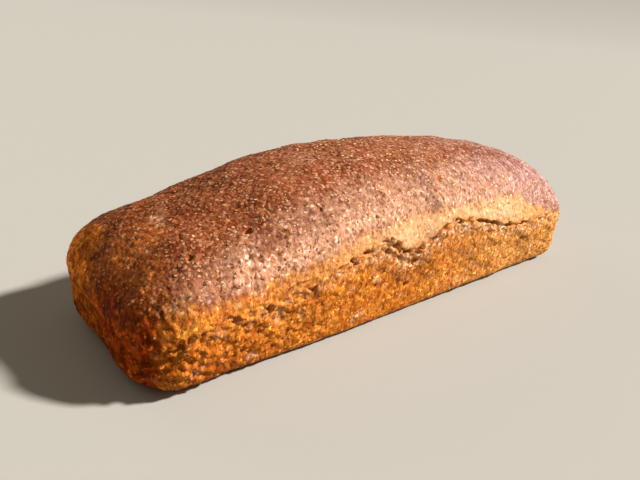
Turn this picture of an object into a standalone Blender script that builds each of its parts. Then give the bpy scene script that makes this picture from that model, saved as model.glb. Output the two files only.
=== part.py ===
"""Tin loaf: a long wholemeal loaf as it comes out of a narrow loaf tin.

One solid. Below the break the dough took the tin's form: a flat base, rounded base edges, four walls
that lean in a little towards the base, and round upright corners. Above it the dough rose free into a
low crown. Along the front the crust tore where the crown lifted off the wall, which leaves an open
crack under a lip. Metres, +Z up. The origin is on the table under the middle of the loaf, +X runs
along its length and the torn front faces -Y.
"""

import math

import bmesh
import bpy
import numpy as np
from mathutils import Vector

# Driving sizes of the baked loaf
LENGTH = 0.280
WIDTH = 0.090
CORNER_RADIUS = 0.021
WALL_LEAN = 0.003
# The far end was pulled from the tin at a slant, and leans this much more
FAR_END_LEAN = 0.0045
CROWN_FULLNESS = 2.65

# Radius of the base edge along the loaf: (x, radius)
BASE_EDGE = (
    (-0.140, 0.0080),
    (-0.115, 0.0078),
    (-0.090, 0.0058),
    (-0.045, 0.0044),
    (0.020, 0.0045),
    (0.060, 0.0060),
    (0.110, 0.0064),
    (0.140, 0.0080),
)

# Height of the crest along the loaf: (x, z)
CREST = (
    (-0.140, 0.0487),
    (-0.105, 0.0540),
    (-0.075, 0.0648),
    (-0.056, 0.0692),
    (-0.035, 0.0713),
    (-0.010, 0.0728),
    (0.010, 0.0729),
    (0.030, 0.0714),
    (0.056, 0.0694),
    (0.080, 0.0671),
    (0.105, 0.0618),
    (0.140, 0.0476),
)
# Height of the break, where tin-baked wall turns into free crown: (x, z)
BREAK_FRONT = (
    (-0.140, 0.0215),
    (-0.128, 0.0225),
    (-0.112, 0.0290),
    (-0.080, 0.0310),
    (-0.062, 0.0345),
    (-0.045, 0.0390),
    (-0.027, 0.0425),
    (-0.010, 0.0350),
    (0.000, 0.0360),
    (0.012, 0.0435),
    (0.024, 0.0440),
    (0.042, 0.0405),
    (0.064, 0.0340),
    (0.085, 0.0318),
    (0.115, 0.0320),
    (0.140, 0.0250),
)
BREAK_BACK = (
    (-0.140, 0.0278),
    (-0.070, 0.0380),
    (0.000, 0.0410),
    (0.070, 0.0360),
    (0.140, 0.0229),
)

# The tear along the front break: how deep it opens and how far its lip stands out, (x, depth, lip)
TEAR = (
    (-0.140, 0.0002, 0.0002),
    (-0.127, 0.0032, 0.0008),
    (-0.116, 0.0008, 0.0004),
    (-0.062, 0.0009, 0.0006),
    (-0.046, 0.0026, 0.0012),
    (-0.020, 0.0040, 0.0018),
    (-0.008, 0.0034, 0.0014),
    (0.010, 0.0024, 0.0012),
    (0.044, 0.0026, 0.0016),
    (0.070, 0.0022, 0.0013),
    (0.118, 0.0012, 0.0006),
    (0.140, 0.0002, 0.0002),
)
TEAR_GAP = 0.0017
LIP_REACH = 0.0030

# Open pits in the crust: (x, y, height), with no height on the crown, whose slope leans less than CROWN_LEAN
PITS = (
    (-0.1127, -0.0278, None),
    (-0.0896, -0.0306, None),
    (-0.0871, -0.0360, None),
    (-0.0800, -0.0363, None),
    (-0.0579, -0.0345, None),
    (-0.0309, -0.0262, None),
    (-0.0241, -0.0360, None),
    (0.0154, -0.0350, None),
    (0.0513, -0.0332, None),
    (-0.0950, 0.0210, None),
    (0.0320, 0.0240, None),
    (0.0880, 0.0050, None),
    (-0.1385, -0.0308, 0.0307),
    (-0.1197, -0.0445, 0.0210),
    (-0.1053, -0.0445, 0.0235),
    (-0.0180, 0.0450, 0.0250),
    (0.0660, 0.0450, 0.0190),
)
PIT_RADIUS = 0.0014
PIT_FLOOR_INSET = 0.0006
PIT_DEPTH = 0.0018
CROWN_LEAN = 0.3

# Broad dents in the crust, and bulges with a negative depth: (x, y, z, radius, depth)
DENTS = (
    (-0.1380, 0.0270, 0.0130, 0.0110, -0.0012),
    (-0.1345, -0.0200, 0.0400, 0.0050, 0.0010),
    (0.1310, -0.0380, 0.0360, 0.0180, 0.0014),
)

# Uneven baking: waves of three sizes summed over the crust, (wavelength, height, number, seed)
SWELLS = (
    (0.060, 0.0006, 9, 11),
    (0.026, 0.0003, 14, 12),
    (0.012, 0.0002, 18, 13),
)
# The swells die away over this height above the table, so that the base stays flat
CALM_HEIGHT = 0.006

# Fineness of the solid
LENGTH_CELLS = 60
END_ANGLES = (12, 26, 40, 53, 65, 76, 84)
SIDE_ANGLES = (14, 27, 39, 50, 60, 69, 77, 83, 87)
EDGE_ROWS = 3
WALL_ROWS = 7
TEAR_ROWS = (0.0034, 0.0017)
EDGE_SHARE = 0.2
TEAR_SHARE = 0.9
TOUCH = 1e-6

SHARP_ANGLE = 40
CRUST_COLOUR = (0.42, 0.19, 0.07, 1.0)
CRUST_ROUGHNESS = 0.75


def clear_scene():
    for obj in list(bpy.data.objects):
        bpy.data.objects.remove(obj, do_unlink=True)


def smooth_through(stations, x, column=1):
    """Smooth curve through the stations: a cubic between two neighbours, its slopes taken from both sides."""
    table = np.array(stations)
    places, values = table[:, 0], table[:, column]
    slopes = np.gradient(values, places)
    i = np.clip(np.searchsorted(places, x) - 1, 0, len(places) - 2)
    step = places[i + 1] - places[i]
    t = np.clip((x - places[i]) / step, 0, 1)
    rise = t * t * (3 - 2 * t)
    start = t * (1 - t) ** 2 * step * slopes[i]
    end = t * t * (t - 1) * step * slopes[i + 1]
    return values[i] * (1 - rise) + values[i + 1] * rise + start + end


def crown_spread(angle):
    """Share of the way from crest to break at which the crown's slope angle is reached, in degrees."""
    return math.sin(math.radians(angle)) ** (2 / CROWN_FULLNESS)


def crown_rise(share):
    """Share of the crown's height that is left at a share of the way from crest to break."""
    return np.sqrt(np.clip(1 - share**CROWN_FULLNESS, 0, 1))


def plan_place(x, y):
    """Rounds the corners of nested rectangles in the plan.

    Returns the plan place, the outward direction there, and the share of the way from the middle line to
    the outline. Each nested rectangle keeps the outline's proportions, so its corners round alike.
    """
    half_length, half_width = LENGTH / 2, WIDTH / 2
    past_end = np.maximum(np.abs(x) - (half_length - half_width), 0) / half_width
    aside = np.abs(y) / half_width
    share = np.maximum(past_end, aside)
    size = np.maximum(share, 1e-9)
    straight = 1 - CORNER_RADIUS / half_width
    along, across = past_end / size, aside / size
    in_corner = (along > straight) & (across > straight)
    to_x = np.where(in_corner, along - straight, along >= across)
    to_y = np.where(in_corner, across - straight, along < across)
    reach = np.maximum(np.hypot(to_x, to_y), 1e-9)
    to_x, to_y = to_x / reach, to_y / reach
    round_size = CORNER_RADIUS / half_width
    along = np.where(in_corner, straight + round_size * to_x, along)
    across = np.where(in_corner, straight + round_size * to_y, across)
    inner = np.minimum(np.abs(x), half_length - half_width)
    plan_x = np.sign(x) * (inner + along * share * half_width)
    plan_y = np.sign(y) * across * share * half_width
    return plan_x, plan_y, np.sign(x) * to_x, np.sign(y) * to_y, share


def break_height(x, y):
    """Height of the break all round: the front's line at -Y, the back's at +Y, and a blend over the ends."""
    t = np.clip((y / WIDTH) + 0.5, 0, 1)
    to_back = t * t * (3 - 2 * t)
    return smooth_through(BREAK_FRONT, x) * (1 - to_back) + smooth_through(BREAK_BACK, x) * to_back


def wall_height(share, rim, base_radius):
    """Height at a share of the wall: a round base edge, the plain wall, then the rows beside the tear."""
    edge = base_radius * (1 - np.cos(np.minimum(share / EDGE_SHARE, 1) * math.pi / 2))
    below_tear = rim - base_radius - max(TEAR_ROWS)
    plain = np.clip((share - EDGE_SHARE) / (TEAR_SHARE - EDGE_SHARE), 0, 1)
    beside_tear = np.clip((share - TEAR_SHARE) / (1 - TEAR_SHARE), 0, 1)
    return edge + below_tear * plain + max(TEAR_ROWS) * beside_tear


def wall_inset(height, rim, base_radius, out_x):
    """How far the wall stands in from the outline: its lean, and the quarter round of the base edge."""
    full_lean = WALL_LEAN + FAR_END_LEAN * np.clip(out_x, 0, 1) ** 2
    to_edge = np.clip(base_radius - height, 0, base_radius)
    return full_lean * np.clip(1 - height / rim, 0, 1) + base_radius - np.sqrt(base_radius**2 - to_edge**2)


def tear_offset(x, above):
    """How far the crust stands out at a height above the break: a narrow gap, then a lip that fades."""
    gap = smooth_through(TEAR, x, 1) * np.exp(-((above / TEAR_GAP) ** 2))
    climb = np.clip(above, 0, None) / LIP_REACH
    lip = smooth_through(TEAR, x, 2) * climb * np.exp(1 - climb)
    return lip - gap


def swell(points):
    """Sum of plane waves in random directions, for each of the three sizes."""
    total = np.zeros(len(points))
    for wavelength, height, number, seed in SWELLS:
        draw = np.random.RandomState(seed)
        ways = draw.normal(size=(number, 3))
        ways /= np.linalg.norm(ways, axis=1, keepdims=True)
        phases = draw.uniform(0, 2 * math.pi, number)
        waves = np.sin(points @ ways.T * (2 * math.pi / wavelength) + phases)
        total += height * waves.sum(axis=1) / math.sqrt(number)
    return total


def dent(points):
    """Depth of the broad dents: a bell curve round each place."""
    total = np.zeros(len(points))
    for x, y, z, radius, depth in DENTS:
        away = np.linalg.norm(points - (x, y, z), axis=1) / radius
        total += depth * np.exp(-(away**2))
    return total


def cut_places(half_size, angles, cells=0):
    """Places of the cuts across one side of the block: close together near the outline, even in between."""
    reach = WIDTH / 2
    start = half_size - reach
    ends = [start + reach * crown_spread(angle) for angle in angles]
    middle = [start * i / cells * 2 - start for i in range(cells + 1)] if cells else [0.0]
    return sorted(set(middle) | set(ends) | {-place for place in ends})


def wall_cuts():
    edge = [EDGE_SHARE * (i + 1) / EDGE_ROWS for i in range(EDGE_ROWS)]
    plain = [EDGE_SHARE + (TEAR_SHARE - EDGE_SHARE) * (i + 1) / WALL_ROWS for i in range(WALL_ROWS)]
    tear = [1 - (1 - TEAR_SHARE) * row / max(TEAR_ROWS) for row in TEAR_ROWS[1:]]
    return edge + plain + tear


def cut_block():
    """A block of the plan's size and unit height, cut into a grid that is fine where the loaf curves."""
    block = bmesh.new()
    bmesh.ops.create_cube(block, size=1.0)
    bmesh.ops.scale(block, vec=(LENGTH, WIDTH, 1.0), verts=block.verts)
    bmesh.ops.translate(block, vec=(0, 0, 0.5), verts=block.verts)
    cuts = (
        (Vector((1, 0, 0)), cut_places(LENGTH / 2, END_ANGLES, LENGTH_CELLS)),
        (Vector((0, 1, 0)), cut_places(WIDTH / 2, SIDE_ANGLES)),
        (Vector((0, 0, 1)), wall_cuts()),
    )
    for way, places in cuts:
        for place in places:
            geometry = block.verts[:] + block.edges[:] + block.faces[:]
            bmesh.ops.bisect_plane(block, geom=geometry, dist=TOUCH, plane_co=way * place, plane_no=way)
    return block


def loaf_points(grid):
    """Carries the block's grid onto the loaf: the upper face to the crown, the sides to the walls.

    The inset is scaled by the share of the way out, which draws the grid under the loaf in evenly.
    """
    x, y, out_x, out_y, share = plan_place(grid[:, 0], grid[:, 1])
    on_top = grid[:, 2] > 1 - TOUCH
    rim = break_height(x, y)
    crown = rim + (smooth_through(CREST, x) - rim) * crown_rise(share)
    base_radius = smooth_through(BASE_EDGE, x)
    wall = wall_height(grid[:, 2], rim, base_radius)
    height = np.where(on_top, crown, wall)
    towards_front = np.clip(-out_y, 0, 1) ** 2
    outward = towards_front * tear_offset(x, height - rim)
    outward -= np.where(on_top, 0, wall_inset(wall, rim, base_radius, out_x) * share)
    return np.stack([x + out_x * outward, y + out_y * outward, height], axis=1)


def shape_loaf(block):
    """Moves the block's vertices, then swells and dents the crust along its normals, calm at the base."""
    grid = np.array([vert.co[:] for vert in block.verts])
    points = loaf_points(grid)
    for vert, point in zip(block.verts, points):
        vert.co = point
    block.normal_update()
    normals = np.array([vert.normal[:] for vert in block.verts])
    free = np.clip(points[:, 2] / CALM_HEIGHT, 0, 1)
    points += normals * ((swell(points) - dent(points)) * free)[:, None]
    points[:, 0] *= LENGTH / np.ptp(points[:, 0])
    points[:, 1] *= WIDTH / np.ptp(points[:, 1])
    points[:, :2] -= (points[:, :2].max(axis=0) + points[:, :2].min(axis=0)) / 2
    for vert, point in zip(block.verts, points):
        vert.co = point


def flatten_base(block):
    """Joins the grid under the loaf into the one flat face that it stands on."""
    under = [face for face in block.faces if max(vert.co.z for vert in face.verts) < TOUCH]
    bmesh.ops.dissolve_faces(block, faces=under, use_verts=True)


def open_pits(block):
    """Sinks a small square pit, its corners up and down, into the crust's face nearest each place."""
    block.normal_update()
    for x, y, z in PITS:
        on_crown = z is None
        crust = [face for face in block.faces if len(face.verts) == 4]
        faces = [face for face in crust if (face.normal.z > CROWN_LEAN) == on_crown]
        place = Vector((x, y, 0 if on_crown else z))
        flat = Vector((1, 1, 0 if on_crown else 1))
        mouth = min(faces, key=lambda face: ((face.calc_center_median() - place) * flat).length)
        bmesh.ops.inset_individual(block, faces=[mouth], thickness=PIT_FLOOR_INSET, depth=0)
        middle = mouth.calc_center_median()
        to_corner = (mouth.verts[0].co - middle).normalized() * PIT_RADIUS
        sideways = mouth.normal.cross(to_corner)
        for vert, offset in zip(mouth.verts, (to_corner, sideways, -to_corner, -sideways)):
            vert.co = middle + offset
        bmesh.ops.inset_individual(block, faces=[mouth], thickness=PIT_FLOOR_INSET, depth=-PIT_DEPTH)


def crust_material():
    material = bpy.data.materials.new("crust")
    material.use_nodes = True
    shader = material.node_tree.nodes["Principled BSDF"]
    shader.inputs["Base Color"].default_value = CRUST_COLOUR
    shader.inputs["Roughness"].default_value = CRUST_ROUGHNESS
    shader.inputs["Metallic"].default_value = 0.0
    material.diffuse_color = CRUST_COLOUR
    return material


def make_loaf(collection):
    block = cut_block()
    shape_loaf(block)
    flatten_base(block)
    open_pits(block)
    bmesh.ops.triangulate(block, faces=block.faces[:])
    mesh = bpy.data.meshes.new("loaf")
    block.to_mesh(mesh)
    block.free()
    mesh.shade_smooth()
    mesh.set_sharp_from_angle(angle=math.radians(SHARP_ANGLE))
    mesh.materials.append(crust_material())
    loaf = bpy.data.objects.new("loaf", mesh)
    collection.objects.link(loaf)
    return loaf


clear_scene()
tin_loaf = bpy.data.collections.new("tin_loaf")
bpy.context.scene.collection.children.link(tin_loaf)
make_loaf(tin_loaf)
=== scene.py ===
# %% [markdown]
# # A wholemeal tin loaf
# The object is one long, narrow loaf, baked in a tin and turned out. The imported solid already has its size
# and its main form. This lesson makes the crust that you look at: a fine surface with the torn side, the
# pits and the grain of the bran, and thousands of bran flakes baked into it. All of it is worked out with
# numpy, in metres, in the frame of the solid: +X along the loaf, -Y the torn side, the table at z = 0.

# %% Open the frame
import math

import bpy
import numpy as np
from mathutils import Matrix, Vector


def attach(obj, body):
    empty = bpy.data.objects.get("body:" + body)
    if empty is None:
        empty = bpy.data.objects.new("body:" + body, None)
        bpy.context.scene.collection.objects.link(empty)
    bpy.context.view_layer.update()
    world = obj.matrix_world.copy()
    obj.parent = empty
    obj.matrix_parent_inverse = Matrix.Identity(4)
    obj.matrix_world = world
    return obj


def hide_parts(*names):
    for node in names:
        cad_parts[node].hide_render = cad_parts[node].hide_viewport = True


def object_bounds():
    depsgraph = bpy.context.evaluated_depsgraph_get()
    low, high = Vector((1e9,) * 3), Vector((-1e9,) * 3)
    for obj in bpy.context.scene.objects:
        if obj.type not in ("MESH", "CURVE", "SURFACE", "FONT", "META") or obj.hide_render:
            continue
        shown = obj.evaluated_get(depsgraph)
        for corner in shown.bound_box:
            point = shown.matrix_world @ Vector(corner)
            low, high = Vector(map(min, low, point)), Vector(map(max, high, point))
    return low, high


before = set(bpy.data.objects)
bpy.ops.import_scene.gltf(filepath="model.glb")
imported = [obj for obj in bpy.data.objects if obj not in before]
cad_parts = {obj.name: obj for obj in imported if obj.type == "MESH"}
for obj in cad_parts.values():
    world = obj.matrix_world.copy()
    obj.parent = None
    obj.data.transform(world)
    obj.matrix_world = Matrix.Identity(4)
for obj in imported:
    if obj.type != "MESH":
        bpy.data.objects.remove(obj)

solid_low, solid_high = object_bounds()
LENGTH = solid_high.x - solid_low.x
WIDTH = solid_high.y - solid_low.y
HALF_LENGTH, HALF_WIDTH = LENGTH / 2, WIDTH / 2
print(f"solid: {LENGTH:.3f} x {WIDTH:.3f} x {solid_high.z - solid_low.z:.4f} m")

# %% [markdown]
# ## The form of the loaf
# Below the break the dough has the tin's shape. Above it the dough rose freely. So the form needs only two
# kinds of line along the loaf: the height of the crest, and the height of the break at the front and at the
# back. A sculpted mesh could hold the same form, but it could not be read or changed. Here a few stations
# give each line, and a smooth curve runs through them.

# %% The lines that run along the loaf
def millimetres(rows):
    """A table measured in millimetres, as an array in metres."""
    return np.array(rows) / 1000


CORNER_RADIUS = 0.021
WALL_LEAN, FAR_END_LEAN = 0.003, 0.0045
CROWN_FULLNESS = 2.65
BASE_EDGE = millimetres((
    (-140, 8), (-115, 7.8), (-90, 5.8), (-45, 4.4), (20, 4.5), (60, 6), (110, 6.4), (140, 8),
))
CREST = millimetres((
    (-140, 48.7), (-105, 54), (-75, 64.8), (-56, 69.2), (-35, 71.3), (-10, 72.8), (10, 72.9),
    (30, 71.4), (56, 69.4), (80, 67.1), (105, 61.8), (140, 47.6),
))
BREAK_FRONT = millimetres((
    (-140, 21.5), (-128, 22.5), (-112, 29), (-80, 31), (-62, 34.5), (-45, 39), (-27, 42.5), (-10, 35),
    (0, 36), (12, 43.5), (24, 44), (42, 40.5), (64, 34), (85, 31.8), (115, 32), (140, 25),
))
BREAK_BACK = millimetres(((-140, 27.8), (-70, 38), (0, 41), (70, 36), (140, 22.9)))


def smooth_through(stations, x, column=1):
    """A cubic between each two stations, whose slopes are taken from the stations on both sides."""
    table = np.array(stations)
    places, values = table[:, 0], table[:, column]
    slopes = np.gradient(values, places)
    i = np.clip(np.searchsorted(places, x) - 1, 0, len(places) - 2)
    step = places[i + 1] - places[i]
    t = np.clip((x - places[i]) / step, 0, 1)
    rise = t * t * (3 - 2 * t)
    start = t * (1 - t) ** 2 * step * slopes[i]
    end = t * t * (t - 1) * step * slopes[i + 1]
    return values[i] * (1 - rise) + values[i + 1] * rise + start + end


def soft_step(value, low, high):
    """Climbs from 0 at low to 1 at high as 3t^2 - 2t^3, level at both ends."""
    t = np.clip((value - low) / (high - low), 0, 1)
    return t * t * (3 - 2 * t)


def bell(value, middle, width):
    """A bell curve: 1 at the middle, and one over e at a width away from it."""
    return np.exp(-(((value - middle) / width) ** 2))


print(f"crest at the middle: {smooth_through(CREST, np.array([0.0]))[0]:.4f} m")

# %% [markdown]
# ## Noise without a texture
# Crust is uneven at every size, from swells as long as a finger to single grains of bran. Blender has noise
# textures, but the mesh itself has to carry this relief, so it is added up here from sine waves. Each wave
# runs in a random direction, and enough of them together look like nothing but chance.

# %% Waves and grains
def unit(vectors):
    """Vectors scaled to a length of 1."""
    return vectors / np.maximum(np.linalg.norm(vectors, axis=-1, keepdims=True), 1e-12)


def waves(points, wavelength, number, seed, squeeze=(1, 1, 1)):
    """Sum of sine waves of one wavelength in random directions, over the root of their number.

    squeeze shortens the waves along an axis: 2 halves their length there.
    """
    draw = np.random.RandomState(seed)
    ways = unit(draw.normal(size=(number, 3)))
    phases = draw.uniform(0, 2 * math.pi, number)
    turns = (points * squeeze) @ ways.T * (2 * math.pi / wavelength) + phases
    return np.sin(turns).sum(axis=1) / math.sqrt(number)


def roughness(points, kinds):
    """Sum of the waves of each kind: wavelength and height in millimetres, number of waves, seed."""
    return sum(height * waves(points, length / 1000, *rest) for length, height, *rest in kinds) / 1000


def wander(x, wavelength, seed):
    """The same sum along one line, for what varies along the tear."""
    line = np.stack([x, 0 * x, 0 * x], axis=-1).reshape(-1, 3)
    return waves(line, wavelength, 9, seed).reshape(x.shape)


# %% [markdown]
# ## A grid that follows the dough
# The crust could be a cube subdivided many times, but its corners would stay stretched. Instead three grids
# share their borders. One covers the crown, one runs down the walls like a ribbon, and rings close the
# base. The rows are spaced evenly along the slope, and closer beside the tear, where the detail is.

# %% Spacing the rows and columns
CROWN_COLUMNS, CROWN_ROWS, WALL_ROWS, BASE_RINGS = 296, 156, 46, 4
FINE_SAMPLES = 2000
MIDDLE_DENSITY, DENSITY_SLOPE = 1.2, 0.7
FRONT_DENSITY, BACK_DENSITY, TEAR_DENSITY = 1.15, 0.85, 1.5
USUAL_RISE, TEAR_REACH = 0.032, 0.005


def crown_rise(share):
    """Share of the crown's height left at a share of the way out: the root of 1 - share^fullness."""
    return np.sqrt(np.clip(1 - share**CROWN_FULLNESS, 0, 1))


def crown_shares():
    """Shares of the way out, from crest to break, at evenly spread slope angles."""
    return np.sin(np.linspace(0, math.pi / 2, FINE_SAMPLES)) ** (2 / CROWN_FULLNESS)


def even_cuts(at, run, rise, density, count):
    """Places that cut a finely sampled curve into steps of equal length times density."""
    lengths = np.hypot(np.diff(run), np.diff(rise)) * (density[1:] + density[:-1]) / 2
    total = np.concatenate([[0], np.cumsum(lengths)])
    return np.interp(np.linspace(0, total[-1], count + 1), total, at)


def column_places():
    """Places along X: the length of the crest line, with more columns towards the near end."""
    outward = crown_shares() * HALF_WIDTH
    middle = np.linspace(HALF_WIDTH - HALF_LENGTH, HALF_LENGTH - HALF_WIDTH, FINE_SAMPLES)
    x = np.concatenate([middle[0] - outward[:0:-1], middle, middle[-1] + outward[1:]])
    share = np.clip(np.abs(x) - middle[-1], 0, None) / HALF_WIDTH
    height = smooth_through(CREST, x) * crown_rise(share)
    return even_cuts(x, x, height, MIDDLE_DENSITY - DENSITY_SLOPE * x / LENGTH, CROWN_COLUMNS)


def row_places():
    """Places along Y: the length of the crown's section, with more rows just above the tear."""
    share = crown_shares()
    y = np.concatenate([-share[:0:-1], share]) * HALF_WIDTH
    height = USUAL_RISE * crown_rise(np.abs(y) / HALF_WIDTH)
    beside_tear = bell(height, 0, TEAR_REACH) * (y < 0)
    density = np.where(y < 0, FRONT_DENSITY, BACK_DENSITY) + TEAR_DENSITY * beside_tear
    return even_cuts(y, y, height, density, CROWN_ROWS)


columns, rows = column_places(), row_places()
print(f"columns {np.diff(columns).min() * 1000:.2f} to {np.diff(columns).max() * 1000:.2f} mm apart")

# %% Rounding the plan
def plan_place(x, y):
    """Nested rectangles about the middle line, each with its corners turned into arcs.

    A place lies on the rectangle whose share of the way out is the larger of its two shares, and a place
    near a corner moves onto the arc along the line from the arc's centre. Returns the place, the outward
    direction in the plan, and the share.
    """
    straight = 1 - CORNER_RADIUS / HALF_WIDTH
    past_end = np.maximum(np.abs(x) - (HALF_LENGTH - HALF_WIDTH), 0) / HALF_WIDTH
    aside = np.abs(y) / HALF_WIDTH
    share = np.maximum(past_end, aside)
    size = np.maximum(share, 1e-9)
    along, across = past_end / size, aside / size
    in_corner = (along > straight) & (across > straight)
    out_x = np.where(in_corner, along - straight, along >= across)
    out_y = np.where(in_corner, across - straight, along < across)
    reach = np.maximum(np.hypot(out_x, out_y), 1e-9)
    out_x, out_y = out_x / reach, out_y / reach
    along = np.where(in_corner, straight + (1 - straight) * out_x, along)
    across = np.where(in_corner, straight + (1 - straight) * out_y, across)
    inner = np.minimum(np.abs(x), HALF_LENGTH - HALF_WIDTH)
    place_x = np.sign(x) * (inner + along * share * HALF_WIDTH)
    place_y = np.sign(y) * across * share * HALF_WIDTH
    return place_x, place_y, np.sign(x) * out_x, np.sign(y) * out_y, share


# %% [markdown]
# ## The break and the seam
# In the oven the crown lifts off the tin-baked wall, and the crust tears along that line. On this loaf the
# right half of the front tore open a little, and the left half only stretched. The line wanders, because
# dough tears where it is weak. Modelling it by hand is slow, so three curves say how deep the seam is, how
# far the lip hangs over it and how ragged the edge is. The open holes along it come later.

# %% The seam along the front
# x, depth of the seam, reach of the lip, raggedness of the line
SEAM = millimetres((
    (-140, 0, 0, 0.2), (-120, 0.1, 0.1, 0.5), (-62, 0.2, 0.1, 0.7), (-48, 0.4, 0.3, 0.9),
    (-20, 0.6, 0.5, 1.1), (10, 0.5, 0.4, 1), (44, 0.8, 0.6, 0.7), (70, 0.6, 0.5, 0.8),
    (105, 0.4, 0.3, 0.7), (125, 0.1, 0.1, 0.3), (140, 0, 0, 0.2),
))
SEAM_HALF, SEAM_DEEPER = 0.0008, 1.3
LIP_REACH = 0.0026
SAG_PLACE, SAG_WIDTH = 0.0014, 0.0012


def break_height(x, y):
    """Height of the break: the ragged front line at -Y, the back line at +Y, a blend over the ends."""
    to_back = soft_step(y, -HALF_WIDTH, HALF_WIDTH)
    ragged = smooth_through(SEAM, x, 3) * (0.7 * wander(x, 0.009, 31) + 0.5 * wander(x, 0.0042, 32))
    front = smooth_through(BREAK_FRONT, x) + ragged
    return front * (1 - to_back) + smooth_through(BREAK_BACK, x) * to_back


def seam_depth(x):
    """Depth of the seam: the named depths, closed here and there where a slow wave dips."""
    return smooth_through(SEAM, x, 1) * soft_step(wander(x, 0.01, 33), -0.9, 0.6) * SEAM_DEEPER


def seam_moves(x, above):
    """(outward, upward) moves beside the seam.

    Outward: a bell-shaped gap at the break, and a lip above it that swells and fades as t*exp(1 - t).
    Upward: the lip sags over the gap, more where it reaches further.
    """
    reach = smooth_through(SEAM, x, 2) * (1 + 0.4 * wander(x, 0.013, 35))
    half = SEAM_HALF * (1 + 0.35 * wander(x, 0.011, 34))
    gap = seam_depth(x) * bell(above, 0, half)
    climb = np.clip(above, 0, None) / LIP_REACH
    sag = reach * 0.5 * bell(above, SAG_PLACE, SAG_WIDTH)
    return reach * climb * np.exp(1 - climb) - gap, -sag


# %% The wall below the break
EDGE_SHARE, TEAR_SHARE, TEAR_BAND = 0.22, 0.8, 0.0045


def wall_height(share, rim, radius):
    """Height at a share of the wall: a quarter circle at the base, the plain wall, then an even band."""
    edge = radius * (1 - np.cos(np.minimum(share / EDGE_SHARE, 1) * math.pi / 2))
    plain = (rim - radius - TEAR_BAND) * np.clip((share - EDGE_SHARE) / (TEAR_SHARE - EDGE_SHARE), 0, 1)
    band = TEAR_BAND * np.clip((share - TEAR_SHARE) / (1 - TEAR_SHARE), 0, 1)
    return edge + plain + band


def wall_inset(height, rim, radius, out_x):
    """How far the wall stands in from the outline: its lean, and the quarter circle of the base edge."""
    lean = (WALL_LEAN + FAR_END_LEAN * np.clip(out_x, 0, 1) ** 2) * np.clip(1 - height / rim, 0, 1)
    to_edge = np.clip(radius - height, 0, radius)
    return lean + radius - np.sqrt(radius**2 - to_edge**2)


# %% Joining crown, walls and base
def border_of(grid):
    """The border of a grid of numbers as one ring: along the front, up the far end, back, and down."""
    return np.concatenate([grid[0, :], grid[1:, -1], grid[-1, -2::-1], grid[-2:0:-1, 0]])


def ribbon(upper, lower):
    """Four-sided faces between two rings of vertex numbers."""
    return np.stack([upper, lower, np.roll(lower, -1), np.roll(upper, -1)], axis=1)


def loaf_grids():
    """Points of crown, walls and base rings, their faces, and the numbers that describe each point."""
    gx, gy = np.meshgrid(columns, rows)
    x, y, out_x, out_y, share = plan_place(gx, gy)
    rim = break_height(x, y)
    z = rim + (smooth_through(CREST, x) - rim) * crown_rise(share)
    crown = np.stack([v.ravel() for v in (x, y, z, out_x, out_y, rim)], axis=1)
    number = np.arange(gx.size).reshape(gx.shape)
    squares = np.stack([number[:-1, :-1], number[:-1, 1:], number[1:, 1:], number[1:, :-1]], axis=2)
    ring = border_of(number)
    edge = crown[ring]
    grid_x, grid_y = border_of(gx), border_of(gy)
    radius = smooth_through(BASE_EDGE, edge[:, 0])
    points, faces, last = [crown], [squares.reshape(-1, 4)], ring
    for step in range(1, WALL_ROWS + BASE_RINGS + 1):
        scale = 1 - max(step - WALL_ROWS, 0) / (BASE_RINGS + 1)
        over = np.clip(np.abs(grid_x) - (HALF_LENGTH - HALF_WIDTH), 0, None)
        inner_x = np.sign(grid_x) * (np.abs(grid_x) - over * (1 - scale))
        x, y = plan_place(inner_x, grid_y * scale)[:2]
        height = wall_height(max(1 - step / WALL_ROWS, 0), edge[:, 5], radius)
        inset = wall_inset(height, edge[:, 5], radius, edge[:, 3]) * scale
        place = [x - edge[:, 3] * inset, y - edge[:, 4] * inset, height]
        points.append(np.column_stack([*place, edge[:, 3:]]))
        fresh = np.arange(len(ring)) + crown.shape[0] + (step - 1) * len(ring)
        faces.append(ribbon(last, fresh))
        last = fresh
    return np.concatenate(points), np.concatenate(faces), last[::-1]


table, quads, base_ring = loaf_grids()
form, outward, rim = table[:, :3], table[:, 3:5], table[:, 5]
above_break = form[:, 2] - rim
faces_front = np.clip(-outward[:, 1], 0, 1) ** 2
print(f"crust grid: {len(form)} points, {len(quads)} four-sided faces")

# %% [markdown]
# ## From form to crust
# The moves are applied in the order in which baking makes them: the dough swells unevenly, the side
# tears, the surface blisters and pits, and the bran roughens it. Each move shifts whole arrays of points
# along the surface's own normals, so nothing is sculpted point by point.

# %% Normals, swells and the tear
# Wavelength and height in millimetres, number of waves, seed
SWELLS = ((60, 0.6, 9, 11), (26, 0.3, 14, 12), (12, 0.2, 18, 13))
CALM_HEIGHT = 0.006


def normals_of(points, faces):
    """Unit normals at the points: the cross products of each face's diagonals, summed at its corners."""
    a, b, c, d = (points[faces[:, k]] for k in range(4))
    across = np.cross(c - a, d - b)
    total = np.zeros_like(points)
    for axis in range(3):
        weights = np.repeat(across[:, axis], 4)
        total[:, axis] = np.bincount(faces.ravel(), weights=weights, minlength=len(points))
    return unit(total)


free_of_base = np.clip(form[:, 2] / CALM_HEIGHT, 0, 1)
swell = roughness(form, SWELLS)
crust = form + normals_of(form, quads) * (swell * free_of_base)[:, None]

out_move, up_move = seam_moves(form[:, 0], above_break)
crust[:, :2] += outward * (faces_front * out_move)[:, None]
crust[:, 2] += faces_front * up_move
print(f"seam: up to {seam_depth(columns).max() * 1000:.1f} mm deep")

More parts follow.
